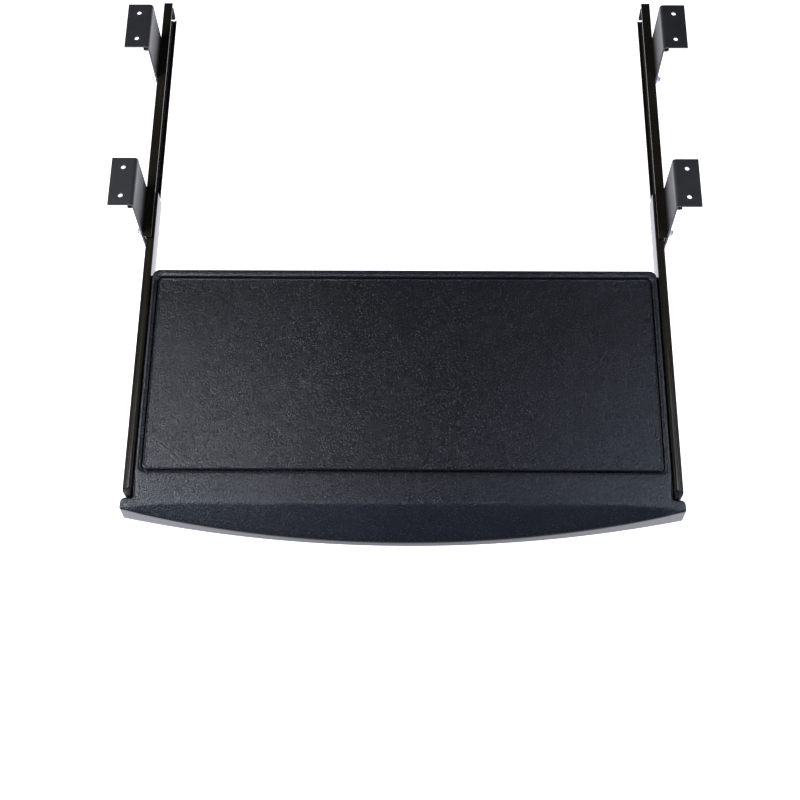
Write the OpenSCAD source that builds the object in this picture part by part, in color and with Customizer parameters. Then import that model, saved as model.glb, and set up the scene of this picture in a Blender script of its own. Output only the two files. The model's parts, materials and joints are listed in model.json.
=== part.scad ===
// Pull-out keyboard tray that hangs under a desk.
// A moulded plastic tray with a wrist-rest front rides on two ball-bearing
// slides; four steel hanger brackets carry the slides from the desk's underside.
// Units are millimetres. The origin is the centre of the desk screw pattern, on
// the plane of the desk's underside. +Z is up, the tray pulls out towards -Y.
// The tray is drawn pulled out.

/* [Tray] */
// Width of the tray across its front ears
ear_width = 577; // [560:1:600]
// Width of the tray behind the ears
tray_width = 551; // [530:1:552]
// Depth of the tray at the middle of its bowed front edge
tray_depth = 308.5; // [300:0.5:320]
// Height of the tray's skirt
tray_height = 27; // [24:0.5:32]
// Height of the desk's underside above the palm surface
desk_clearance = 60; // [50:1:90]
// Wall thickness of the moulding
wall = 3; // [2.5:0.5:4]
// Radius of the bowed front edge
bow_radius = 1440; // [1200:10:2000]
// Slope of the wrist facet, in degrees
wrist_slope = 26.5; // [15:0.5:30]
// Distance from the rear edge to the crease where the wrist facet starts
crease_depth = 272; // [268:0.5:276]
// Distance from the rear edge to the back of the ears
ear_back = 266.5; // [262:0.5:268]
// Plan radius of the rear corners
rear_corner_r = 8; // [4:1:20]

/* [Keyboard bed] */
// Depth of the bed below the palm surface
bed_drop = 5; // [3:0.5:6]
// Thickness of the non-slip mat
mat_t = 2.4; // [1:0.1:2.5]
// Distance from the rear edge to the bed's rear wall
bed_back = 8.5; // [8:0.5:14]
// Distance from the rear edge to the bed's front wall
bed_front = 236.5; // [220:0.5:240]
// Gap between the mat and the walls of the bed
mat_gap = 1.5; // [0.5:0.1:3]
// Plan radius of the bed's corners
bed_corner_r = 7; // [4:1:10]

/* [Slides] */
// Length of the drawer rail, which moves with the tray
drawer_rail_len = 356; // [330:1:380]
// Length of the desk rail, which stays under the desk
desk_rail_len = 325; // [300:1:360]
// Travel of the tray
travel = 260; // [200:1:260]
// Height of the drawer rail
drawer_rail_h = 26; // [24:1:28]
// Bearing ball diameter
ball_d = 4; // [3.5:0.5:4]
// Balls in each row
balls_per_row = 6; // [4:1:6]

/* [Brackets] */
// Spacing of the front and rear brackets
bracket_spacing = 210; // [180:2:220]
// Length of each bracket along the slide
bracket_len = 60; // [52:1:70]
// Sheet thickness of the brackets
bracket_t = 2; // [1.5:0.5:2.5]
// Spacing of the two screw holes in a bracket
bracket_pitch = 36; // [28:1:40]
// Diameter of the holes for the desk screws
desk_hole_d = 5.2; // [4:0.1:6]
// Width of the bracket's desk flange
flange_w = 28; // [22:1:34]

/* [Hidden] */
$fn = 64;
e = 0.01;

// heights
zt = -desk_clearance;                 // palm surface
zb = zt - tray_height;                // bottom of the skirt
slide_z = zt - 1.5 - drawer_rail_h/2; // middle of the slides

// the tray in plan: ty(d) is the Y of a line d in front of the tray's rear edge
tray_back_y = -180;
function ty(d) = tray_back_y - d;
bow_c = ty(tray_depth) + bow_radius;  // centre of the bow
hx = tray_width/2;
ex = ear_width/2;
bed_hx = hx - 5.2;
ledge_hx = hx - 3;
ledge_drop = 1.7;

// the slide section: u runs outward from the tray, w runs up from the slide's middle
rail_x = hx + 2.5;
rail_t = 1.2;
rail_u = 9;
flange_t = 1.8;
ball_u = 6.2;
ball_w = drawer_rail_h/2 + 1.2;
race_r = ball_d/2 + 0.15;
desk_in_w = drawer_rail_h/2 + 2.4;
desk_h = 2*(desk_in_w + flange_t);
desk_u0 = 2.8;
desk_u1 = 13;
desk_t = 1.5;
drawer_front = ty(256);
drawer_rear = drawer_front + drawer_rail_len;
desk_front = -140;
desk_rear = desk_front + desk_rail_len;
cage_t = 1;
cage_u = 10;
cage_y0 = desk_front + 3;
cage_y1 = drawer_rear - 3;
ball_pitch = (cage_y1 - cage_y0 - 12)/(balls_per_row - 1);

screw_d = [40, 128, 216];             // tray screws, from the tray's rear edge
bracket_y = [-bracket_spacing/2, bracket_spacing/2];
bracket_x = rail_x + desk_u1;
hole_x = bracket_x + 15;
stud_r = 2.5;
stud_head_r = 3.5;

// ---- helpers ----

// rectangle with round corners
module round_rect(x0, y0, x1, y1, r) {
    translate([x0 + r, y0]) square([x1 - x0 - 2*r, y1 - y0]);
    translate([x0, y0 + r]) square([x1 - x0, y1 - y0 - 2*r]);
    for (x = [x0 + r, x1 - r], y = [y0 + r, y1 - r]) translate([x, y]) circle(r);
}

// slot between two centres that are l apart, along y
module slot(l, r) {
    translate([-r, -l/2]) square([2*r, l]);
    for (s = [-1, 1]) translate([0, s*l/2]) circle(r);
}

// a section in X and Z, run from y0 to y1
module along_y(y0, y1) translate([0, y1, 0]) rotate([90, 0, 0]) linear_extrude(y1 - y0) children();

// a section in u and w of the right-hand slide, run from y0 to y1
module slide_run(y0, y1) along_y(y0, y1) translate([rail_x, slide_z]) children();

// round bar along X
module bar_x(x0, x1, r) translate([x0, 0, 0]) rotate([0, 90, 0]) cylinder(h = x1 - x0, r = r);

module left() mirror([1, 0, 0]) children();

// everything above the wrist facet, lowered by d
module above_facet(d = 0)
    translate([0, ty(crease_depth), zt - d]) rotate([wrist_slope, 0, 0])
        translate([-ex - 20, -120, 0]) cube([2*ex + 40, 120, 60]);

// ---- tray ----

// plan of the tray behind the ears
module body_plan() {
    translate([-hx, ty(crease_depth + 4)]) square([2*hx, crease_depth + 4 - rear_corner_r]);
    translate([-hx + rear_corner_r, ty(crease_depth)]) square([2*(hx - rear_corner_r), crease_depth]);
    for (s = [-1, 1]) translate([s*(hx - rear_corner_r), ty(rear_corner_r)]) circle(rear_corner_r);
}

// plan of the front with its ears and bowed edge
module front_plan() intersection() {
    translate([0, bow_c]) circle(bow_radius, $fn = 256);
    union() {
        round_rect(-ex, ty(ear_back + 14.5), ex, ty(ear_back), 5);
        translate([-ex, ty(tray_depth + 2)]) square([2*ex, tray_depth + 2 - ear_back - 6]);
    }
}

// hollow under the bed and under the palm zone and wrist facet
module tray_hollow() {
    translate([0, 0, zb - 1]) linear_extrude(tray_height + 1 - bed_drop - wall)
        round_rect(-hx + wall, ty(bed_front + 2), hx - wall, ty(wall), max(1, rear_corner_r - wall));
    difference() {
        translate([0, 0, zb - 1]) linear_extrude(tray_height + 1 - wall - 0.5) intersection() {
            translate([0, bow_c]) circle(bow_radius - wall, $fn = 256);
            translate([-hx + wall, ty(tray_depth)]) square([2*(hx - wall), tray_depth - bed_front - 2 - wall]);
        }
        above_facet(wall + 0.6);
    }
}

module tray_ribs() intersection() {
    union() {
        for (i = [-4:4]) translate([60*i - 1, ty(bed_front + 3), zb + 10]) cube([2, bed_front + 3, tray_height - 11]);
        for (d = [50, 108, 166, 222]) translate([-hx, ty(d) - 1, zb + 10]) cube([2*hx, 2, tray_height - 11]);
        // screw bosses on the side walls
        for (s = [-1, 1], d = screw_d) translate([s*(hx - 8) - 7.5, ty(d) - 7, slide_z - 7]) cube([15, 14, 24]);
    }
    tray_hollow();
}

// the bed with its ledge along both sides, and the shoulder at its front
module bed_cut() {
    translate([0, 0, zt - bed_drop]) linear_extrude(bed_drop + 1)
        round_rect(-bed_hx, ty(bed_front), bed_hx, ty(bed_back), bed_corner_r);
    translate([0, 0, zt - ledge_drop]) linear_extrude(ledge_drop + 1)
        round_rect(-ledge_hx, ty(bed_front), ledge_hx, ty(bed_back - 1), bed_corner_r);
    translate([-ledge_hx, ty(bed_front), zt - 2.6]) rotate([-25, 0, 0])
        translate([0, -12, 0]) cube([2*ledge_hx, 13, 6]);
}

module tray_shell() color("#26262a") difference() {
    union() {
        difference() {
            translate([0, 0, zb]) linear_extrude(tray_height) union() { body_plan(); front_plan(); }
            above_facet();
            tray_hollow();
            bed_cut();
        }
        tray_ribs();
        // ribs along the sides, which close the gap to the drawer rails
        for (s = [-1, 1]) translate([s > 0 ? hx - 1 : -rail_x, ty(262), zt - 9]) cube([rail_x - hx + 1, 257.5, 3]);
        // pads that the drawer rails lie against
        for (s = [-1, 1], d = screw_d) translate([0, ty(d), slide_z])
            bar_x(s > 0 ? hx - 1 : -rail_x, s > 0 ? rail_x : -hx + 1, 9);
    }
    for (s = [-1, 1], d = screw_d) translate([0, ty(d), slide_z])
        bar_x(s > 0 ? hx - 14 : -rail_x - 1, s > 0 ? rail_x + 1 : -hx + 14, 1.75);
}

module keyboard_mat() color("#2b2c30")
    translate([0, 0, zt - bed_drop]) linear_extrude(mat_t)
        round_rect(-bed_hx + mat_gap, ty(bed_front - mat_gap), bed_hx - mat_gap, ty(bed_back + mat_gap), bed_corner_r - mat_gap);

// ---- slides, right hand ----

module drawer_rail() color("#1c1916") difference() {
    union() {
        slide_run(drawer_front, drawer_rear) difference() {
            round_rect(0, -drawer_rail_h/2, rail_u, drawer_rail_h/2, 0.8);
            translate([rail_t, -drawer_rail_h/2 + flange_t]) square([rail_u, drawer_rail_h - 2*flange_t]);
            for (s = [-1, 1]) translate([ball_u, s*ball_w]) circle(race_r);
        }
        // lugs that catch the ball cage when the tray is fully out
        for (s = [-1, 1]) slide_run(drawer_rear - 2.5, drawer_rear - 1)
            translate([3.4, s > 0 ? drawer_rail_h/2 - 1.2 : -drawer_rail_h/2 - 1.1]) square([5, 2.3]);
    }
    for (d = screw_d) translate([0, ty(d), slide_z]) bar_x(rail_x - 1, rail_x + rail_t + 1, 2.4);
}

module rail_end_cap() color("#232327") {
    translate([rail_x, 0, slide_z - drawer_rail_h/2]) linear_extrude(drawer_rail_h)
        polygon([[0, drawer_front], [rail_u, drawer_front], [rail_u, drawer_front - 3.5],
                 [rail_u - 4.2, drawer_front - 9.3], [0, drawer_front - 9.3]]);
    slide_run(drawer_front - 1, drawer_front + 14) round_rect(rail_t + 0.4, -8.6, rail_u - 1.2, 8.6, 1.5);
}

// pan-head tapping screw along X, head seated at x = 0
module tray_screw() {
    bar_x(-13, 0.5, 2.1);
    difference() {
        rotate([0, 90, 0]) rotate_extrude()
            polygon([[0, 0], [4, 0], [4, 1.1], [3.6, 1.9], [2.8, 2.4], [1.6, 2.6], [0, 2.6]]);
        for (a = [0, 90]) rotate([a, 0, 0]) translate([1.2, -2.2, -0.45]) cube([2, 4.4, 0.9]);
    }
}

module tray_screws() color("#8f9094")
    for (d = screw_d) translate([rail_x + rail_t, ty(d), slide_z]) tray_screw();

module desk_rail() color("#1c1916") difference() {
    union() {
        slide_run(desk_front, desk_rear) difference() {
            round_rect(desk_u0, -desk_h/2, desk_u1, desk_h/2, 0.8);
            translate([desk_u0 - 1, -desk_in_w]) square([desk_u1 - desk_t - desk_u0 + 1, 2*desk_in_w]);
            for (s = [-1, 1]) translate([ball_u, s*ball_w]) circle(race_r);
        }
        // lugs that stop the ball cage at the mouth of the rail
        for (s = [-1, 1]) slide_run(desk_front + 1, desk_front + 2.5)
            translate([3.6, s > 0 ? desk_in_w - 1.1 : -desk_in_w - 0.9]) square([6, 2]);
    }
    // seats of the clinched studs
    for (b = bracket_y, s = [-1, 1]) translate([0, b + s*bracket_pitch/2, slide_z])
        bar_x(rail_x + desk_u1 - 3, rail_x + desk_u1 + 1, stud_head_r);
    // screwdriver holes for reaching the tray screws
    for (y = [-40, 0, 40]) translate([0, y, slide_z]) bar_x(rail_x + desk_u1 - 3, rail_x + desk_u1 + 1, 5);
    // seat of the rear bumper's stem
    translate([0, desk_rear - 8, slide_z]) bar_x(rail_x + desk_u1 - 3, rail_x + desk_u1 + 1, 2.5);
}

module ball_cage() color("#b9a878") difference() {
    slide_run(cage_y0, cage_y1) difference() {
        translate([3.2, -ball_w - cage_t/2]) square([cage_u + 0.8 - 3.2, 2*ball_w + cage_t]);
        translate([3.1, -ball_w + cage_t/2]) square([cage_u - 3.1, 2*ball_w - cage_t]);
    }
    for (i = [0:balls_per_row - 1], s = [-1, 1])
        translate([rail_x + ball_u, cage_y0 + 6 + i*ball_pitch, slide_z + s*ball_w]) cylinder(h = 3, r = ball_d/2 + 0.1, center = true);
    // lightening windows in the strip
    for (i = [0:2]) translate([rail_x + cage_u - 1, cage_y0 + 8 + i*14.5, slide_z - 8]) cube([3, 9, 16]);
}

module balls() color("#c9ccd0")
    for (i = [0:balls_per_row - 1], s = [-1, 1])
        translate([rail_x + ball_u, cage_y0 + 6 + i*ball_pitch, slide_z + s*ball_w]) sphere(ball_d/2);

// rubber plug in the rear end of the desk rail
module rear_bumper() color("#151515") translate([0, 0, slide_z]) {
    translate([rail_x + 3.2, desk_rear - 4, -9]) cube([desk_u1 - desk_t - 3.2, 4, 18]);
    translate([rail_x + desk_u1 - desk_t - 2, desk_rear - 12, -6]) cube([2, 9, 12]);
    translate([0, desk_rear - 8, 0]) {
        bar_x(rail_x + desk_u1 - desk_t - 1, rail_x + desk_u1 + 0.5, 2.5);
        bar_x(rail_x + desk_u1, rail_x + desk_u1 + 1.6, 4);
    }
}

// ---- hangers, right hand ----

module bracket(y) color("#1f1d1c") difference() {
    union() {
        along_y(y - bracket_len/2, y + bracket_len/2) difference() {
            union() {
                translate([bracket_x, slide_z - 13]) square([bracket_t, -slide_z + 13 - 4]);
                translate([bracket_x + 4, -bracket_t]) square([flange_w - 4, bracket_t]);
                translate([bracket_x + 4, -4]) circle(4);
            }
            translate([bracket_x + bracket_t, -4 - bracket_t]) square([4, 4]);
            translate([bracket_x + 4, -4 - bracket_t]) square([8, 4]);
            translate([bracket_x + 4, -4]) circle(4 - bracket_t);
        }
        // pressed gusset across the bend
        along_y(y - 1.5, y + 1.5) polygon([[bracket_x + 1, -1], [bracket_x + 19, -1], [bracket_x + 1, -26]]);
    }
    // desk screw holes
    for (s = [-1, 1]) translate([hole_x, y + s*bracket_pitch/2, -bracket_t - 1]) cylinder(h = bracket_t + 2, d = desk_hole_d);
    // height slots over the studs
    for (s = [-1, 1]) translate([bracket_x - 1, y + s*bracket_pitch/2, slide_z + 3]) rotate([90, 0, 90])
        linear_extrude(bracket_t + 2) slot(14, stud_r + 0.3);
    // clipped lower corners
    for (s = [-1, 1]) translate([bracket_x - 1, y + s*bracket_len/2, slide_z - 13]) rotate([45, 0, 0]) translate([0, -6, -6]) cube([6, 12, 12]);
}

module rail_studs() color("#9a9b9f")
    for (b = bracket_y, s = [-1, 1]) translate([0, b + s*bracket_pitch/2, slide_z]) {
        bar_x(rail_x + desk_u1 - desk_t, rail_x + desk_u1, stud_head_r);
        bar_x(rail_x + desk_u1 - 1, bracket_x + bracket_t + 7, stud_r);
    }

module bracket_nuts() color("#a2a3a7")
    for (b = bracket_y, s = [-1, 1]) translate([bracket_x + bracket_t, b + s*bracket_pitch/2, slide_z]) rotate([0, 90, 0]) difference() {
        union() {
            cylinder(h = 1.2, r = 5.8);
            translate([0, 0, 1]) cylinder(h = 4, r = 8/sqrt(3), $fn = 6);
        }
        translate([0, 0, -1]) cylinder(h = 8, r = stud_r);
    }

tray_shell();
keyboard_mat();
left() drawer_rail();  // left_drawer_rail
drawer_rail();  // right_drawer_rail
left() rail_end_cap();  // left_rail_end_cap
rail_end_cap();  // right_rail_end_cap
left() tray_screws();  // left_tray_screws
tray_screws();  // right_tray_screws
left() desk_rail();  // left_desk_rail
desk_rail();  // right_desk_rail
left() ball_cage();  // left_ball_cage
ball_cage();  // right_ball_cage
left() balls();  // left_balls
balls();  // right_balls
left() bracket(bracket_y[0]);  // left_front_bracket
bracket(bracket_y[0]);  // right_front_bracket
left() bracket(bracket_y[1]);  // left_rear_bracket
bracket(bracket_y[1]);  // right_rear_bracket
left() rail_studs();  // left_rail_studs
rail_studs();  // right_rail_studs
left() bracket_nuts();  // left_bracket_nuts
bracket_nuts();  // right_bracket_nuts
left() rear_bumper();  // left_rear_bumper
rear_bumper();  // right_rear_bumper
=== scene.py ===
import bpy, bmesh, json, math
from mathutils import Vector, Matrix
from mathutils.geometry import delaunay_2d_cdt


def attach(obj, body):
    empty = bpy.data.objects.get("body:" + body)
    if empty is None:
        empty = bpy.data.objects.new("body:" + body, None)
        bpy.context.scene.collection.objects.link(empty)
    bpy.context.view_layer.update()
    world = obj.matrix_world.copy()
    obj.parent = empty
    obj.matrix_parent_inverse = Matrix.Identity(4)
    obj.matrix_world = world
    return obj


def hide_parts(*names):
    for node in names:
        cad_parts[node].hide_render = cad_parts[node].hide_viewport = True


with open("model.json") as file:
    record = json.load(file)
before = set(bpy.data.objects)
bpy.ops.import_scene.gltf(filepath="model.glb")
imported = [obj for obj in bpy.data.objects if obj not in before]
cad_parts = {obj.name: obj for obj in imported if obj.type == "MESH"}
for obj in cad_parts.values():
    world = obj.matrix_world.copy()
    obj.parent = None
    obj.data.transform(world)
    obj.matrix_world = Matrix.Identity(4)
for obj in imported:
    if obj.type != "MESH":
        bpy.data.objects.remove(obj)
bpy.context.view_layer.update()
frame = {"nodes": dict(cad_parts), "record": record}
nodes = frame["nodes"]

MM = 0.001
scene = bpy.context.scene
scene.view_settings.view_transform = "Standard"
scene.view_settings.look = "None"
scene.view_settings.exposure = 0.0
scene.view_settings.gamma = 1.0

# ---------------------------------------------------------------- camera
CAM_F = 1441.0
CAM_PITCH, CAM_YAW, CAM_ROLL = math.radians(65.439), math.radians(1.522), math.radians(-1.1329)
CAM_C = Vector((13.407, -965.79, 1316.81)) * MM


def make_camera():
    cy, sy = math.cos(CAM_YAW), math.sin(CAM_YAW)
    ahead, right, up = Vector((-sy, cy, 0)), Vector((cy, sy, 0)), Vector((0, 0, 1))
    fwd = math.cos(CAM_PITCH) * ahead - math.sin(CAM_PITCH) * up
    u = math.sin(CAM_PITCH) * ahead + math.cos(CAM_PITCH) * up
    cr, sr = math.cos(CAM_ROLL), math.sin(CAM_ROLL)
    r2, u2 = cr * right + sr * u, -sr * right + cr * u
    data = bpy.data.cameras.new("photo_camera")
    data.sensor_fit = "HORIZONTAL"
    data.sensor_width = 36.0
    data.lens = 36.0 * CAM_F / 800.0
    data.clip_start, data.clip_end = 0.05, 50
    cam = bpy.data.objects.new("photo_camera", data)
    m = Matrix.Identity(4)
    for i in range(3):
        m[i][0], m[i][1], m[i][2], m[i][3] = r2[i], u2[i], -fwd[i], CAM_C[i]
    cam.matrix_world = m
    scene.collection.objects.link(cam)
    scene.camera = cam


make_camera()

# ---------------------------------------------------------------- materials


def new_mat(name):
    m = bpy.data.materials.new(name)
    m.use_nodes = True
    nt = m.node_tree
    nt.nodes.clear()
    out = nt.nodes.new("ShaderNodeOutputMaterial")
    p = nt.nodes.new("ShaderNodeBsdfPrincipled")
    nt.links.new(p.outputs[0], out.inputs[0])
    return m, nt, p


def coords(nt, scale=(1, 1, 1)):
    tc = nt.nodes.new("ShaderNodeTexCoord")
    mp = nt.nodes.new("ShaderNodeMapping")
    mp.inputs["Scale"].default_value = scale
    nt.links.new(tc.outputs["Object"], mp.inputs["Vector"])
    return mp.outputs[0]


def noise(nt, vec, scale, detail=3, rough=0.55):
    n = nt.nodes.new("ShaderNodeTexNoise")
    n.inputs["Scale"].default_value = scale
    n.inputs["Detail"].default_value = detail
    n.inputs["Roughness"].default_value = rough
    nt.links.new(vec, n.inputs["Vector"])
    return n.outputs["Fac"]


def voronoi(nt, vec, scale, feature="F1", smooth=None, rand=1.0):
    n = nt.nodes.new("ShaderNodeTexVoronoi")
    n.feature = feature
    n.inputs["Scale"].default_value = scale
    n.inputs["Randomness"].default_value = rand
    if smooth is not None:
        n.inputs["Smoothness"].default_value = smooth
    nt.links.new(vec, n.inputs["Vector"])
    return n.outputs["Distance"]


def remap(nt, val, a, b, lo, hi):
    n = nt.nodes.new("ShaderNodeMapRange")
    n.inputs["From Min"].default_value, n.inputs["From Max"].default_value = a, b
    n.inputs["To Min"].default_value, n.inputs["To Max"].default_value = lo, hi
    nt.links.new(val, n.inputs["Value"])
    return n.outputs["Result"]


def math_node(nt, op, a, b):
    n = nt.nodes.new("ShaderNodeMath")
    n.operation = op
    for i, v in enumerate((a, b)):
        if isinstance(v, (int, float)):
            n.inputs[i].default_value = v
        else:
            nt.links.new(v, n.inputs[i])
    return n.outputs[0]


def ramp(nt, val, stops):
    n = nt.nodes.new("ShaderNodeValToRGB")
    e = n.color_ramp.elements
    e[0].position, e[0].color = stops[0][0], (*stops[0][1], 1)
    e[1].position, e[1].color = stops[1][0], (*stops[1][1], 1)
    for pos, col in stops[2:]:
        x = e.new(pos)
        x.color = (*col, 1)
    nt.links.new(val, n.inputs["Fac"])
    return n.outputs["Color"]


def bump(nt, height, strength, dist, chain=None):
    n = nt.nodes.new("ShaderNodeBump")
    n.inputs["Strength"].default_value = strength
    n.inputs["Distance"].default_value = dist
    nt.links.new(height, n.inputs["Height"])
    if chain is not None:
        nt.links.new(chain, n.inputs["Normal"])
    return n.outputs["Normal"]


def grained_plastic(name, dark, light, rough, cell, depth):
    """Moulded black plastic with a pebble grain of the given cell size and depth in mm; its base colour carries
    painted shade in the hollows between the pebbles and painted highlights on their tops.
    """
    m, nt, p = new_mat(name)
    v = coords(nt)
    big = noise(nt, v, 7.0, 2)
    n = nt.nodes.new("ShaderNodeTexNoise")
    n.inputs["Scale"].default_value = 1000.0 / (1.9 * cell)
    n.inputs["Detail"].default_value = 1
    nt.links.new(v, n.inputs["Vector"])
    sc = nt.nodes.new("ShaderNodeVectorMath")
    sc.operation = "SCALE"
    sc.inputs["Scale"].default_value = 0.5 * cell * MM
    nt.links.new(n.outputs["Color"], sc.inputs[0])
    warp = nt.nodes.new("ShaderNodeVectorMath")
    warp.operation = "ADD"
    nt.links.new(v, warp.inputs[0])
    nt.links.new(sc.outputs[0], warp.inputs[1])
    cells = voronoi(nt, warp.outputs[0], 1000.0 / cell, "SMOOTH_F1", 0.2)
    grit = noise(nt, v, 1000.0 / (0.55 * cell), 2)
    dome = math_node(nt, "MULTIPLY", math_node(nt, "MULTIPLY", cells, cells), 1.1)
    h = math_node(nt, "SUBTRACT", math_node(nt, "MULTIPLY", grit, 0.55), dome)
    nt.links.new(bump(nt, h, 1.0, depth * MM), p.inputs["Normal"])
    # base colour: a random drift of tone, plus painted shade in the hollows between the pebbles and painted highlights
    # on the pebble tops, standing in for the grain's glints
    tone_and_painted_grain_shade = math_node(nt, "SUBTRACT", math_node(nt, "ADD", math_node(nt, "MULTIPLY", big, 0.4), 0.5),
                     math_node(nt, "MULTIPLY", cells, 0.65))
    nt.links.new(ramp(nt, tone_and_painted_grain_shade, [(0.1, dark), (0.7, light)]), p.inputs["Base Color"])
    r = math_node(nt, "ADD", math_node(nt, "MULTIPLY", cells, 0.2), rough - 0.08)
    nt.links.new(r, p.inputs["Roughness"])
    p.inputs["IOR"].default_value = 1.5
    return m


def smooth_plastic(name, dark, light, rough, spec=0.5):
    m, nt, p = new_mat(name)
    p.inputs["Specular IOR Level"].default_value = spec
    v = coords(nt)
    n1 = noise(nt, v, 40.0, 4)
    n2 = noise(nt, v, 900.0, 3)
    nt.links.new(ramp(nt, n1, [(0.3, dark), (0.75, light)]), p.inputs["Base Color"])
    nt.links.new(remap(nt, n2, 0.3, 0.7, rough - 0.05, rough + 0.06), p.inputs["Roughness"])
    nt.links.new(bump(nt, n2, 0.35, 0.00003), p.inputs["Normal"])
    return m


def lacquer(name, dark, light, rough, coat, peel=0.00006):
    """Black lacquer or powder coat on steel: orange peel and a slight drift of tone."""
    m, nt, p = new_mat(name)
    v = coords(nt)
    n1 = noise(nt, v, 25.0, 4)
    n2 = noise(nt, v, 420.0, 2)
    n3 = noise(nt, v, 1600.0, 2)
    col = ramp(nt, n1, [(0.3, dark), (0.75, light)])
    nt.links.new(remap(nt, n3, 0.3, 0.7, rough - 0.04, rough + 0.07), p.inputs["Roughness"])
    nt.links.new(bump(nt, n2, 0.5, peel), p.inputs["Normal"])
    nt.links.new(col, p.inputs["Base Color"])
    p.inputs["IOR"].default_value = 1.54
    p.inputs["Coat Weight"].default_value = coat
    p.inputs["Coat Roughness"].default_value = 0.08
    return m


def plated(name, dark, light, rough, stretch=(1, 1, 1)):
    m, nt, p = new_mat(name)
    v = coords(nt, stretch)
    n1 = noise(nt, v, 300.0, 4, 0.65)
    n2 = noise(nt, v, 1500.0, 2)
    nt.links.new(ramp(nt, n1, [(0.3, dark), (0.75, light)]), p.inputs["Base Color"])
    p.inputs["Metallic"].default_value = 1.0
    nt.links.new(remap(nt, n1, 0.3, 0.7, rough - 0.06, rough + 0.1), p.inputs["Roughness"])
    nt.links.new(bump(nt, n2, 0.3, 0.00003), p.inputs["Normal"])
    return m


def rubber(name, dark, light, rough=0.75):
    m, nt, p = new_mat(name)
    v = coords(nt)
    n1 = noise(nt, v, 60.0, 4)
    n2 = noise(nt, v, 1400.0, 3)
    nt.links.new(ramp(nt, n1, [(0.3, dark), (0.8, light)]), p.inputs["Base Color"])
    nt.links.new(remap(nt, n2, 0.3, 0.7, rough - 0.08, rough + 0.08), p.inputs["Roughness"])
    nt.links.new(bump(nt, n2, 0.6, 0.00006), p.inputs["Normal"])
    return m


M_TRAY = grained_plastic("tray_moulding", (0.003, 0.003, 0.004), (0.020, 0.020, 0.022), 0.21, 1.05, 0.25)
M_LIP = smooth_plastic("tray_lip", (0.022, 0.022, 0.026), (0.030, 0.030, 0.034), 0.22)
M_MAT = grained_plastic("bed_mat", (0.001, 0.001, 0.0015), (0.014, 0.014, 0.015), 0.205, 1.20, 0.295)
M_MAT_EDGE = smooth_plastic("bed_mat_edge", (0.006, 0.006, 0.007), (0.010, 0.010, 0.012), 0.24)
M_EDGE = smooth_plastic("tray_edge", (0.006, 0.006, 0.007), (0.010, 0.010, 0.012), 0.24)
M_UNDER = smooth_plastic("tray_underside", (0.020, 0.020, 0.023), (0.028, 0.028, 0.031), 0.42)
M_RAIL = lacquer("slide_black", (0.009, 0.007, 0.0036), (0.014, 0.011, 0.006), 0.19, 0.0)
M_CAP = smooth_plastic("cap_plastic", (0.003, 0.003, 0.003), (0.006, 0.006, 0.006), 0.5, 0.22)
M_BRKT = lacquer("bracket_black", (0.016, 0.015, 0.014), (0.024, 0.022, 0.021), 0.42, 0.1, 0.00012)
M_ZINC = plated("zinc_steel", (0.42, 0.43, 0.45), (0.62, 0.62, 0.64), 0.3)
M_CAGE = plated("cage_steel", (0.36, 0.33, 0.25), (0.55, 0.51, 0.41), 0.36, (1, 0.15, 1))
M_BALL = plated("ball_chrome", (0.70, 0.71, 0.73), (0.80, 0.81, 0.83), 0.12)
M_RUBBER = rubber("bumper_rubber", (0.010, 0.010, 0.010), (0.018, 0.018, 0.017))

BY_SLOT = {"tray_moulding": M_TRAY, "bed_mat": M_MAT, "slide_black": M_RAIL, "cap_plastic": M_CAP,
           "bracket_black": M_BRKT, "zinc_steel": M_ZINC, "cage_steel": M_CAGE, "ball_chrome": M_BALL,
           "bumper_rubber": M_RUBBER}
for sp in frame["record"]["subparts"]:
    ob = nodes[sp["node"]]
    ob.data.materials.clear()
    ob.data.materials.append(BY_SLOT[sp["material_slot"]])

# ---------------------------------------------------------------- tray mesh
# Plan coordinates: x across, d forward from the tray's rear edge; z from the palm surface. All in mm.
ZT, BACK_Y = -60.0, -180.0
HX, EX, DEPTH, BOW_R = 275.5, 288.5, 308.5, 1440.0
EAR_BACK, RC, RN, RE, RF = 266.5, 8.0, 2.2, 5.0, 2.4
CREASE, SLOPE, CREASE_W = 272.0, math.tan(math.radians(26.5)), 2.6
BOTTOM = -27.0
NA, NB, NC, ND, NE, NF, NG, NH, NI = 26, 12, 40, 7, 5, 9, 4, 10, 72


def place(x, d, z):
    return Vector((x * MM, (BACK_Y - d) * MM, (ZT + z) * MM))


def lin(a, b, n, last=False):
    m = n - 1 if last else n
    return [a + (b - a) * i / m for i in range(n)]


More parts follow.
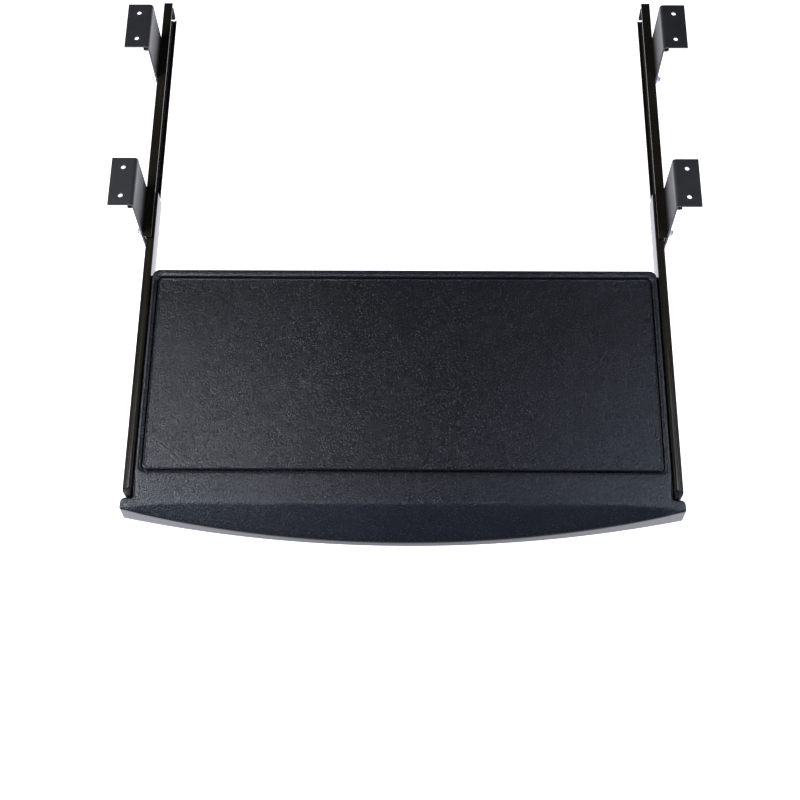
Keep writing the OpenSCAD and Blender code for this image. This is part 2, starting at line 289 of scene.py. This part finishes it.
def outline(t=0.0):
    """Half of the tray's outline set in by t, rear centre to front centre, as (x, d, nx, nd) with outward normals."""
    hx, ex, back, ear = HX - t, EX - t, t, EAR_BACK + t
    rc, rn, re, rf = max(0.4, RC - t), RN + t, max(0.4, RE - t), max(0.4, RF - t)
    bow, db = BOW_R - t, DEPTH - BOW_R
    pts = []
    pts += [(x, back, 0.0, -1.0) for x in lin(0, hx - rc, NA)]
    for a in lin(-90, 0, NB):
        c, s = math.cos(math.radians(a)), math.sin(math.radians(a))
        pts.append((hx - rc + rc * c, back + rc + rc * s, c, s))
    pts += [(hx, d, 1.0, 0.0) for d in lin(back + rc, 239.0, NC - 5, True) + lin(241.2, ear - rn, 5)]
    for a in lin(180, 90, ND):
        c, s = math.cos(math.radians(a)), math.sin(math.radians(a))
        pts.append((hx + rn + rn * c, ear - rn + rn * s, -c, -s))
    pts += [(x, ear, 0.0, -1.0) for x in lin(hx + rn, ex - re, NE)]
    for a in lin(-90, 0, NF):
        c, s = math.cos(math.radians(a)), math.sin(math.radians(a))
        pts.append((ex - re + re * c, ear + re + re * s, c, s))
    xc = ex - rf
    dc = db + math.sqrt((bow - rf) ** 2 - xc ** 2)
    pts += [(ex, d, 1.0, 0.0) for d in lin(ear + re, dc, NG)]
    th = math.atan2(dc - db, xc)
    for a in lin(0, th, NH):
        pts.append((xc + rf * math.cos(a), dc + rf * math.sin(a), math.cos(a), math.sin(a)))
    for a in lin(th, math.pi / 2, NI, True):
        pts.append((bow * math.cos(a), db + bow * math.sin(a), math.cos(a), math.sin(a)))
    return pts


OUT = outline()
NH_ALL = len(OUT)
I0 = NA + NB + NC                      # first column of the ear group
I1 = I0 + ND + NE + NF + NG + NH       # first column of the bow


def smoothstep(a, b, x):
    k = min(1.0, max(0.0, (x - a) / (b - a)))
    return k * k * (3 - 2 * k)


def crease(x):
    """The crease is straight across the tray and runs out into the tips of the ears."""
    x = abs(x)
    return CREASE + 2.2 * smoothstep(215, 276, x) + 5.5 * smoothstep(262, 289, x)


def top_z(x, d):
    s = d - crease(x)
    w = CREASE_W
    if s <= -w:
        return 0.0
    if s >= w:
        return -SLOPE * s
    return -SLOPE * (s + w) ** 2 / (4 * w)


def inset(t):
    return [(x, d) for x, d, nx, nd in outline(t)]


def bed_ring(rear, side, front, r0, r1, zr, zs, zf):
    """Half of a rounded rectangle around the bed, with a height for its rear, side and front."""
    pts = []
    for x in lin(0, side - r0, NA):
        pts.append((x, rear, zr))
    for a in lin(-90, 0, NB):
        c, s = math.cos(math.radians(a)), math.sin(math.radians(a))
        k = (a + 90) / 90
        k = k * k * (3 - 2 * k)
        pts.append((side - r0 + r0 * c, rear + r0 + r0 * s, zr + (zs - zr) * k))
    for d in lin(rear + r0, front - r1, NC):
        pts.append((side, d, zs))
    n = I1 - I0
    for a in lin(0, 90, n):
        c, s = math.cos(math.radians(a)), math.sin(math.radians(a))
        k = a / 90
        k = k * k * (3 - 2 * k)
        pts.append((side - r1 + r1 * c, front - r1 + r1 * s, zs + (zf - zs) * k))
    for x in lin(side - r1, 0, NI, True):
        pts.append((x, front, zf))
    return pts


class Builder:
    """Collects mirrored rings of points and joins neighbouring rings with quads."""

    def __init__(self):
        self.bm = bmesh.new()
        self.rings = []

    def ring(self, half):
        vs = [self.bm.verts.new(place(*p)) for p in half]
        vs += [self.bm.verts.new(place(-x, d, z)) for x, d, z in reversed(half[1:-1])]
        self.rings.append(vs)
        return vs

    def join(self, a, b, mat):
        n = len(a)
        for i in range(n):
            j = (i + 1) % n
            f = self.bm.faces.new((a[i], a[j], b[j], b[i]))
            f.material_index = mat
            f.smooth = True

    def cap(self, a, mat, flip=False):
        f = self.bm.faces.new(list(reversed(a)) if flip else a)
        f.material_index = mat
        f.smooth = True
        return f


def plan_of(v):
    return v.co.x / MM, BACK_Y - v.co.y / MM


def inside(loop, x, d):
    hit = False
    for (x0, d0), (x1, d1) in zip(loop, loop[1:] + loop[:1]):
        if (d0 > d) != (d1 > d) and x < x0 + (x1 - x0) * (d - d0) / (d1 - d0):
            hit = not hit
    return hit


def clearance(loop, x, d):
    best = 1e9
    for (x0, d0), (x1, d1) in zip(loop, loop[1:] + loop[:1]):
        ex, ed = x1 - x0, d1 - d0
        q = ex * ex + ed * ed
        t = min(1.0, max(0.0, ((x - x0) * ex + (d - d0) * ed) / q)) if q > 0 else 0.0
        best = min(best, (x - x0 - t * ex) ** 2 + (d - d0 - t * ed) ** 2)
    return math.sqrt(best)


def fill_between(b, outer, inner, offsets, height, mat):
    """Fills the zone between two rings of vertices, with lines of points that follow the crease."""
    lo, li = [plan_of(v) for v in outer], [plan_of(v) for v in inner]
    pts = lo + li
    verts = list(outer) + list(inner)
    n, m = len(lo), len(li)
    edges = [(i, (i + 1) % n) for i in range(n)] + [(n + i, n + (i + 1) % m) for i in range(m)]
    for off, step in offsets:
        count = int(284.0 / step)
        for k in range(-count, count + 1):
            x = k * step
            d = crease(x) + off
            if inside(lo, x, d) and not inside(li, x, d) and clearance(lo, x, d) > 0.5 and clearance(li, x, d) > 0.5:
                pts.append((x, d))
                verts.append(b.bm.verts.new(place(x, d, height(x, d))))
    out_v, _, faces, orig_v, _, _ = delaunay_2d_cdt([Vector(q) for q in pts], edges, [], 0, 1e-6)
    for f in faces:
        cx, cd = sum(out_v[k].x for k in f) / len(f), sum(out_v[k].y for k in f) / len(f)
        if inside(lo, cx, cd) and not inside(li, cx, cd):
            face = b.bm.faces.new([verts[orig_v[k][0]] for k in f])
            face.material_index = mat
            face.smooth = True


def edge_radius(i, p):
    """Radius of the rounded top edge: full at the rear rim, small along the bed, soft beside the palm zone and on the ears."""
    d = p[1]
    if i < NA + NB:
        return 2.0 - 1.1 * smoothstep(NA, NA + NB, i)
    if i < I0:
        return 0.9 + 2.5 * smoothstep(238, 256, d)
    if i < I1:
        return 3.4 - 1.1 * smoothstep(I0 + ND + NE + NF - 3, I1 - NH, i)
    return 2.3 + 1.5 * smoothstep(I1, I1 + 24, i)


EDGE_R = [edge_radius(i, p) for i, p in enumerate(OUT)]


def edge_tilt(p):
    """Angle by which the top surface rises inward from the edge at this point of the outline."""
    x, d, nx, nd = p
    a, c = 0.6, 3.2
    return math.atan(max(0.0, (top_z(x - nx * c, d - nd * c) - top_z(x - nx * a, d - nd * a)) / (c - a)))


EDGE_T = [edge_tilt(p) for p in OUT]


def build_tray():
    b = Builder()
    draft = 0.7

    def wall_pt(p, t, z):
        return (p[0] - p[2] * t, p[1] - p[3] * t, z)

    # outside: bottom edge, wall with draft, and a top edge rounded tangent to the wall and to the top surface
    rings = []
    o = [(x - nx * r * (1 - math.sin(t)), d - nd * r * (1 - math.sin(t))) for (x, d, nx, nd), r, t in zip(OUT, EDGE_R, EDGE_T)]
    heart = [top_z(x, d) - r * math.cos(t) for (x, d), r, t in zip(o, EDGE_R, EDGE_T)]
    side = [smoothstep(EAR_BACK - 2, EAR_BACK + 3, p[1]) for p in OUT]
    rings.append([wall_pt(p, 0.7 - draft * k, BOTTOM) for p, k in zip(OUT, side)])
    rings.append([wall_pt(p, 0.25 - draft * k, BOTTOM + 0.15) for p, k in zip(OUT, side)])
    rings.append([wall_pt(p, -draft * k, BOTTOM + 0.7) for p, k in zip(OUT, side)])
    for q in (0.15, 0.5, 0.85):
        rings.append([wall_pt(p, -draft * k * (1 - q), BOTTOM + 0.7 + (h - BOTTOM - 0.7) * q)
                      for p, h, k in zip(OUT, heart, side)])
    steps = 9
    for k in range(steps + 1):
        ang = [(math.pi / 2 - t) * k / steps for t in EDGE_T]
        rings.append([wall_pt(p, r * (1 - math.cos(g)), h + r * math.sin(g)) for p, h, r, g in zip(OUT, heart, EDGE_R, ang)])
    outside = [b.ring(r) for r in rings]
    for k in range(len(outside) - 1):
        b.join(outside[k], outside[k + 1], 1 if k < 6 else 3 if k < 12 else 0)
    # shoulder, ledge and walls of the bed, then the narrow channel around the mat
    # each row: rear line and its height, side line and height, front line and height, corner radius
    rings = [bed_ring(rear, sd, front, r, r, zr, zs, zf) for rear, zr, sd, zs, front, zf, r in (
        (4.6, 0.0, 274.45, 0.02, 240.9, 0.0, 7.4),
        (5.4, -0.08, 273.95, 0.09, 240.2, -0.07, 7.3),
        (6.2, -0.23, 273.45, 0.08, 239.5, -0.24, 7.2),
        (7.0, -0.46, 273.05, -0.02, 238.9, -0.52, 7.1),
        (7.6, -0.75, 272.82, -0.25, 238.3, -0.92, 7.0),
        (8.0, -1.10, 272.67, -0.70, 237.8, -1.42, 6.9),
        (8.25, -1.50, 272.55, -1.20, 237.35, -2.00, 6.8),
        (8.4, -1.90, 272.38, -1.50, 237.05, -2.50, 6.7),
        (8.5, -2.30, 272.05, -1.58, 236.95, -2.95, 6.6),
        (8.55, -2.70, 271.55, -1.55, 236.8, -3.30, 6.6),
        (8.6, -3.10, 271.10, -1.62, 236.7, -3.65, 6.6),
        (8.64, -3.50, 270.75, -1.84, 236.6, -4.05, 6.6),
        (8.68, -4.00, 270.50, -2.25, 236.56, -4.40, 6.6),
        (8.71, -4.60, 270.36, -3.00, 236.52, -4.90, 6.6),
        (8.74, -5.40, 270.30, -5.20, 236.5, -5.60, 6.6),
        (8.8, -6.40, 270.15, -6.40, 236.4, -6.40, 6.5),
        (9.1, -6.80, 269.80, -6.80, 236.0, -6.80, 6.2),
        (10.8, -6.80, 268.20, -6.80, 234.3, -6.80, 4.8),
        (11.2, -6.40, 267.80, -6.40, 233.9, -6.40, 4.4),
        (11.3, -5.02, 267.70, -5.02, 233.8, -5.02, 4.3))]
    built = [b.ring(r) for r in rings]
    for k in range(len(built) - 1):
        b.join(built[k], built[k + 1], 0)
    b.cap(built[-1], 0)
    # palm zone and wrist facet
    lines = [(q * CREASE_W / 4, 5.0) for q in range(-5, 6)] + [(q, 9.0) for q in (-7, -13, -19, -25, 6, 11, 17, 23, 29, 35)]
    fill_between(b, outside[-1], built[0], lines, top_z, 0)

    # underside: bottom rim, inner wall, skin below the palm zone and the bed
    wall = 3.0
    inn = inset(wall)
    under = [[(x, d, BOTTOM) for x, d in inset(wall - 0.7)],
             [(x, d, BOTTOM + 0.5) for x, d in inn]]
    zu = [-8.0 if d < 240.0 else min(-4.0, top_z(x, d) - 3.2) for x, d in inn]
    under.append([(x, d, z - 1.0) for (x, d), z in zip(inn, zu)])
    under.append([(x, d, z) for (x, d), z in zip(inset(wall + 0.8), zu)])
    ub = [b.ring(r) for r in under]
    us = b.ring(bed_ring(7.0, 269.0, 240.5, 4.0, 4.0, -8.0, -8.0, -3.6))
    skin = b.ring(bed_ring(7.6, 268.4, 240.0, 4.0, 4.0, -8.0, -8.0, -8.0))
    for ra, rb in [(outside[0], ub[0])] + list(zip(ub, ub[1:])):
        b.join(rb, ra, 2)
    fill_between(b, ub[-1], us, [(q, 7.0) for q in (-30.2, -24, -15, -6, -3, -1.5, 0, 1.5, 3, 6, 12, 18, 24, 30)],
                 lambda x, d: -8.0 if d < 239.5 else min(-3.6, top_z(x, d) - 3.3), 2)
    b.join(skin, us, 2)
    b.cap(skin, 2, True)
    bmesh.ops.recalc_face_normals(b.bm, faces=b.bm.faces)

    # ribs, screw bosses and rail pads
    def box(x0, x1, d0, d1, z0, z1, bev=0.35):
        v = []
        r = bmesh.ops.create_cube(b.bm, size=1.0)
        for q in r["verts"]:
            q.co = place((x0 + x1) / 2 + q.co.x * (x1 - x0), (d0 + d1) / 2 - q.co.y * (d1 - d0), (z0 + z1) / 2 + q.co.z * (z1 - z0))
        fs = {f for q in r["verts"] for f in q.link_faces}
        for f in fs:
            f.material_index = 2
        es = {e for f in fs for e in f.edges}
        bmesh.ops.bevel(b.bm, geom=list(es), offset=bev * MM, segments=2, profile=0.5, affect="EDGES", material=2)

    def rib_along_d(x):
        prof = [(1.5, -16.7), (239.8, -16.7), (239.8, -7.2), (6.0, -7.2), (6.0, -3.0), (1.5, -3.0)]
        ring = [[], []]
        for k, dx in enumerate((-1.0, 1.0)):
            ring[k] = [b.bm.verts.new(place(x + dx, d, z)) for d, z in prof]
        n = len(prof)
        for i in range(n):
            j = (i + 1) % n
            f = b.bm.faces.new((ring[0][i], ring[0][j], ring[1][j], ring[1][i]))
            f.material_index = 2
        for k in (0, 1):
            f = b.bm.faces.new(ring[k] if k else list(reversed(ring[k])))
            f.material_index = 2

    for i in range(-4, 5):
        rib_along_d(60.0 * i)
    for d in (50, 108, 166, 222):
        box(-HX + 1.5, HX - 1.5, d - 1, d + 1, -17.0, -7.2, 0.3)
    box(-HX + 1.5, HX - 1.5, 238.6, 241.5, BOTTOM + 0.6, -3.2, 0.4)
    # ribs along the sides, which close the gap to the drawer rails
    for sd in (-1, 1):
        box(*sorted((sd * (HX - 1.0), sd * (HX + 2.48))), 4.5, 266.9, -9.0, -6.0, 0.5)
    zs = -1.5 - 13.0
    for s in (-1, 1):
        for d in (40, 128, 216):
            box(*sorted((s * (HX - 15), s * (HX - 1))), d - 7, d + 7, zs - 7, -6.5, 0.8)
            # round pad that the rail lies against
            seg = 40
            rr = []
            for x, r in ((HX - 1.5, 9.0), (HX + 2.1, 9.0), (HX + 2.5, 8.6)):
                rr.append([b.bm.verts.new(place(s * x, d + r * math.cos(2 * math.pi * k / seg), zs + r * math.sin(2 * math.pi * k / seg))) for k in range(seg)])
            for q in range(2):
                for k in range(seg):
                    f = b.bm.faces.new((rr[q][k], rr[q][(k + 1) % seg], rr[q + 1][(k + 1) % seg], rr[q + 1][k]))
                    f.material_index = 1
                    f.smooth = True
            for q in (0, 2):
                f = b.bm.faces.new(rr[q])
                f.material_index = 1
    bmesh.ops.recalc_face_normals(b.bm, faces=b.bm.faces)
    me = bpy.data.meshes.new("tray_body")
    b.bm.to_mesh(me)
    b.bm.free()
    me.materials.append(M_TRAY)
    me.materials.append(M_LIP)
    me.materials.append(M_UNDER)
    me.materials.append(M_EDGE)
    ob = bpy.data.objects.new("tray_body", me)
    scene.collection.objects.link(ob)
    return ob


def smooth_by_angle(ob, deg=35):
    bpy.context.view_layer.objects.active = ob
    for o in bpy.context.selected_objects:
        o.select_set(False)
    ob.select_set(True)
    me = ob.data
    for p in me.polygons:
        p.use_smooth = True
    me.set_sharp_from_angle(angle=math.radians(deg))


tray = build_tray()
smooth_by_angle(tray, 40)
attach(tray, "tray")
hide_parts("tray_shell")


def build_mat():
    b = Builder()
    # each row: inset and height at the rear, inset and height at the sides, inset and height at the front;
    # a low bead runs along the rear and side edges
    rings = [bed_ring(9.5 + tr, 269.2 - t, 235.0 - tf, 5.6 - 0.8 * t, 5.4 - 0.8 * t, zr, zs, zf) for tr, zr, t, zs, tf, zf in (
        (0.6, -5.0, 0.6, -5.0, 0.6, -5.0), (0.1, -4.9, 0.1, -4.9, 0.1, -4.9), (0.0, -4.6, 0.0, -4.6, 0.0, -4.6),
        (0.0, -3.4, 0.0, -3.6, 0.0, -3.8), (0.06, -2.9, 0.06, -3.1, 0.08, -3.35), (0.2, -2.5, 0.2, -2.72, 0.28, -2.96),
        (0.42, -2.24, 0.42, -2.48, 0.58, -2.71), (0.75, -2.12, 0.75, -2.38, 0.95, -2.60), (1.15, -2.16, 1.15, -2.42, 1.4, -2.60),
        (1.6, -2.33, 1.6, -2.52, 1.8, -2.60), (2.1, -2.53, 2.1, -2.58, 2.2, -2.60), (2.8, -2.60, 2.8, -2.60, 2.9, -2.60))]
    vs = [b.ring(r) for r in rings]
    for k in range(len(vs) - 1):
        b.join(vs[k], vs[k + 1], 1 if k < 9 else 0)
    b.cap(vs[-1], 0)
    b.cap(vs[0], 0, True)
    bmesh.ops.recalc_face_normals(b.bm, faces=b.bm.faces)
    me = bpy.data.meshes.new("bed_mat")
    b.bm.to_mesh(me)
    b.bm.free()
    me.materials.append(M_MAT)
    me.materials.append(M_MAT_EDGE)
    ob = bpy.data.objects.new("bed_mat", me)
    scene.collection.objects.link(ob)
    return ob


mat_ob = build_mat()
smooth_by_angle(mat_ob, 50)
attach(mat_ob, "tray")
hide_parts("keyboard_mat")

# ---------------------------------------------------------------- slides
RAIL_X, SLIDE_Z = 278.0, -74.5


def fillet(pts, n=5):
    """Closed 2-D outline from corners (u, w, r), each rounded with its radius."""
    out = []
    m = len(pts)
    for i, (x, y, r) in enumerate(pts):
        if r <= 0:
            out.append((x, y))
            continue
        p0, p1, p2 = Vector(pts[i - 1][:2]), Vector((x, y)), Vector(pts[(i + 1) % m][:2])
        a, b = (p0 - p1).normalized(), (p2 - p1).normalized()
        half = a.angle(b) / 2
        t = min(r / math.tan(half), 0.48 * (p0 - p1).length, 0.48 * (p2 - p1).length)
        rr = t * math.tan(half)
        c = p1 + (a + b).normalized() * (rr / math.sin(half))
        s0, s1 = p1 + a * t - c, p1 + b * t - c
        a0 = math.atan2(s0.y, s0.x)
        da = (math.atan2(s1.y, s1.x) - a0 + math.pi) % (2 * math.pi) - math.pi
        for k in range(n + 1):
            q = a0 + da * k / n
            out.append((c.x + rr * math.cos(q), c.y + rr * math.sin(q)))
    return out


def mirrored(half):
    """Outline from its upper half, which runs from the web up and round to the web's other face."""
    return half + [(u, -w, r) for u, w, r in reversed(half)]


def slide_pt(side, u, y, w):
    return Vector((side * (RAIL_X + u), y, SLIDE_Z + w)) * MM


def extrude_profile(bm, side, prof, y0, y1, cuts=(), mat=0):
    """Runs a closed u-w outline along Y; cuts are extra Y stations."""
    ys = [y0, *cuts, y1]
    rings = [[bm.verts.new(slide_pt(side, u, y, w)) for u, w in prof] for y in ys]
    n = len(prof)
    for a, b in zip(rings, rings[1:]):
        for i in range(n):
            f = bm.faces.new((a[i], a[(i + 1) % n], b[(i + 1) % n], b[i]))
            f.material_index = mat
    for r in (rings[0], rings[-1]):
        bm.faces.new(r).material_index = mat
    return rings


def bev_box(bm, lo, hi, bev, seg=2, mat=0):
    r = bmesh.ops.create_cube(bm, size=1.0)
    for v in r["verts"]:
        v.co = Vector([(l + h) / 2 + c * (h - l) for l, h, c in zip(lo, hi, v.co)]) * MM
    fs = {f for v in r["verts"] for f in v.link_faces}
    es = list({e for f in fs for e in f.edges})
    bmesh.ops.bevel(bm, geom=es, offset=bev * MM, segments=seg, profile=0.5, affect="EDGES")


def to_object(bm, name, mats, angle=38):
    bmesh.ops.recalc_face_normals(bm, faces=bm.faces)
    me = bpy.data.meshes.new(name)
    bm.to_mesh(me)
    bm.free()
    for m in mats:
        me.materials.append(m)
    ob = bpy.data.objects.new(name, me)
    scene.collection.objects.link(ob)
    smooth_by_angle(ob, angle)
    return ob


def groove(c_u, c_w, r, u0, u1, sign, n=12):
    """Points of a ball race: a circular hollow about (c_u, c_w), from u0 to u1."""
    pts = []
    for k in range(n + 1):
        u = u0 + (u1 - u0) * k / n
        pts.append((u, c_w + sign * math.sqrt(max(0.0, r * r - (u - c_u) ** 2)), 0.0))
    return pts


DRAWER_HALF = ([(0.0, 11.9, 0.9), (0.9, 12.72, 0.7), (2.9, 13.0, 0.8), (4.5, 12.62, 0.6)]
               + groove(6.2, 14.2, 2.15, 5.0, 7.6, -1)
               + [(7.95, 12.98, 0.35), (9.0, 13.0, 0.55), (9.0, 11.3, 0.55), (7.4, 11.2, 0.4), (1.2, 11.2, 0.8)])


def drawer_rail(side, name):
    bm = bmesh.new()
    prof = fillet(mirrored(DRAWER_HALF), 5)
    extrude_profile(bm, side, prof, -436.0, -80.0, [-435.0, -400.0, -300.0, -200.0, -100.0, -81.0])
    for sg in (-1, 1):
        lo, hi = sorted((sg * 11.8, sg * 14.1))
        x0, x1 = sorted((side * (RAIL_X + 3.4), side * (RAIL_X + 8.4)))
        bev_box(bm, (x0, -82.5, SLIDE_Z + lo), (x1, -81.0, SLIDE_Z + hi), 0.3)
    return to_object(bm, name, [M_RAIL], 32)


def end_cap(side, name):
    bm = bmesh.new()
    plan = fillet([(0.0, -436.05, 0.3), (9.0, -436.05, 0.3), (9.0, -439.5, 1.6), (4.8, -445.3, 1.4), (0.0, -445.3, 1.2)], 4)
    rings = []
    for w, t in ((-13.0, 0.9), (-12.75, 0.35), (-12.2, 0.08), (-11.6, 0.0), (11.6, 0.0), (12.2, 0.08), (12.75, 0.35), (13.0, 0.9)):
        cu, cy = 3.9, -440.4
        ring = []
        for u, y in plan:
            v = Vector((u - cu, y - cy))
            v = v * (1 - t / v.length)
            ring.append(bm.verts.new(slide_pt(side, cu + v.x, cy + v.y, w)))
        rings.append(ring)
    n = len(plan)
    for a, b in zip(rings, rings[1:]):
        for i in range(n):
            bm.faces.new((a[i], a[(i + 1) % n], b[(i + 1) % n], b[i]))
    for r in (rings[0], rings[-1]):
        bm.faces.new(r)
    x0, x1 = sorted((side * (RAIL_X + 1.6), side * (RAIL_X + 7.8)))
    bev_box(bm, (x0, -437.0, SLIDE_Z - 8.6), (x1, -422.0, SLIDE_Z + 8.6), 0.9, 3)
    # two snap ribs on the tongue, against the flanges of the rail
    for sg in (-1, 1):
        lo, hi = sorted((sg * 8.2, sg * 10.9))
        bev_box(bm, (x0 + 1.0, -436.6, SLIDE_Z + lo), (x1 - 1.0, -426.0, SLIDE_Z + hi), 0.5, 2)
    return to_object(bm, name, [M_CAP], 40)


for side, lr in ((-1, "left"), (1, "right")):
    ob = drawer_rail(side, lr + "_drawer_rail_skin")
    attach(ob, "tray")
    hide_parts(lr + "_drawer_rail")
    ob = end_cap(side, lr + "_rail_end_cap_skin")
    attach(ob, "tray")
    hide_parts(lr + "_rail_end_cap")


def dress(name, bevel, seg=2, angle=32):
    """Crisp, slightly rounded edges on a carried-over node."""
    ob = nodes[name]
    for p in ob.data.polygons:
        p.use_smooth = True
    m = ob.modifiers.new("weld", "WELD")
    m.merge_threshold = 2e-6
    m = ob.modifiers.new("planar", "DECIMATE")
    m.decimate_type = "DISSOLVE"
    m.angle_limit = math.radians(0.8)
    m = ob.modifiers.new("bevel", "BEVEL")
    m.width = bevel * MM
    m.segments = seg
    m.limit_method = "ANGLE"
    m.angle_limit = math.radians(angle)
    m.harden_normals = True
    m = ob.modifiers.new("normals", "WEIGHTED_NORMAL")
    m.keep_sharp = True


for lr in ("left", "right"):
    for nm, bev in (("front_bracket", 0.35), ("rear_bracket", 0.35), ("desk_rail", 0.25), ("bracket_nuts", 0.2), ("rail_studs", 0.2),
                    ("tray_screws", 0.12), ("ball_cage", 0.12), ("rear_bumper", 0.5)):
        dress(lr + "_" + nm, bev)
    for p in nodes[lr + "_balls"].data.polygons:
        p.use_smooth = True

# ---------------------------------------------------------------- stage and light


def emissive_floor():
    m, nt, p = new_mat("pale_floor")
    p.inputs["Base Color"].default_value = (0.9, 0.9, 0.9, 1)
    p.inputs["Roughness"].default_value = 0.9
    p.inputs["Emission Color"].default_value = (1.0, 0.975, 1.06, 1)
    p.inputs["Emission Strength"].default_value = 1.25
    return m


bm = bmesh.new()
bmesh.ops.create_grid(bm, x_segments=2, y_segments=2, size=6.0)
me = bpy.data.meshes.new("floor")
bm.to_mesh(me)
bm.free()
floor = bpy.data.objects.new("floor", me)
floor.location = (0, 0, -0.74)
me.materials.append(emissive_floor())
scene.collection.objects.link(floor)


def area(name, loc, target, size, power, color=(1, 1, 1)):
    d = bpy.data.lights.new(name, "AREA")
    d.shape = "RECTANGLE"
    d.size, d.size_y = size
    d.energy = power
    d.color = color
    o = bpy.data.objects.new(name, d)
    o.location = loc
    o.rotation_euler = (Vector(target) - Vector(loc)).to_track_quat("-Z", "Y").to_euler()
    scene.collection.objects.link(o)


# a strong box on the left, a weaker one on the right, and faint cool panels
area("left", (-0.85, -0.30, 0.95), (0.0, -0.33, -0.06), (0.4, 0.4), 15.9, (0.935, 1.0, 1.12))
area("right", (0.85, -0.30, 0.95), (0.0, -0.33, -0.06), (0.4, 0.4), 2.3, (0.70, 0.80, 1.70))
area("left_near", (-0.62, -0.58, 0.55), (0.0, -0.33, -0.06), (0.3, 0.3), 1.25, (0.84, 1.0, 1.10))
area("right_near", (0.62, -0.35, 0.50), (0.0, -0.33, -0.06), (0.3, 0.3), 1.8, (0.83, 1.0, 0.95))
area("left_rear", (-0.82, 0.12, 0.95), (0.28, -0.44, -0.06), (0.12, 0.3), 0.35, (1.0, 0.98, 0.92))
area("right_rear", (0.82, 0.12, 0.95), (-0.28, -0.44, -0.06), (0.12, 0.3), 0.7, (1.0, 0.98, 0.92))
area("cool_front", (0.0, -1.35, 2.3), (0.0, -0.33, -0.06), (1.6, 1.0), 3.7, (0.16, 0.36, 1.0))

w = bpy.data.worlds.new("studio")
scene.world = w
w.use_nodes = True
nt = w.node_tree
bg = nt.nodes["Background"]
tc = nt.nodes.new("ShaderNodeTexCoord")
sep = nt.nodes.new("ShaderNodeSeparateXYZ")
nt.links.new(tc.outputs["Generated"], sep.inputs[0])
sky = ramp(nt, sep.outputs["Z"], [(0.0, (0.36, 0.36, 0.38)), (0.28, (0.26, 0.26, 0.28)), (0.56, (0.024, 0.025, 0.029)), (0.66, (0.010, 0.011, 0.014)), (0.95, (0.014, 0.016, 0.022))])
nt.links.new(sky, bg.inputs["Color"])
bg.inputs["Strength"].default_value = 1.0
white = nt.nodes.new("ShaderNodeBackground")
white.inputs["Color"].default_value = (1.0, 1.0, 1.0, 1)
lp = nt.nodes.new("ShaderNodeLightPath")
mixs = nt.nodes.new("ShaderNodeMixShader")
nt.links.new(lp.outputs["Is Camera Ray"], mixs.inputs[0])
nt.links.new(bg.outputs[0], mixs.inputs[1])
nt.links.new(white.outputs[0], mixs.inputs[2])
nt.links.new(mixs.outputs[0], nt.nodes["World Output"].inputs[0])
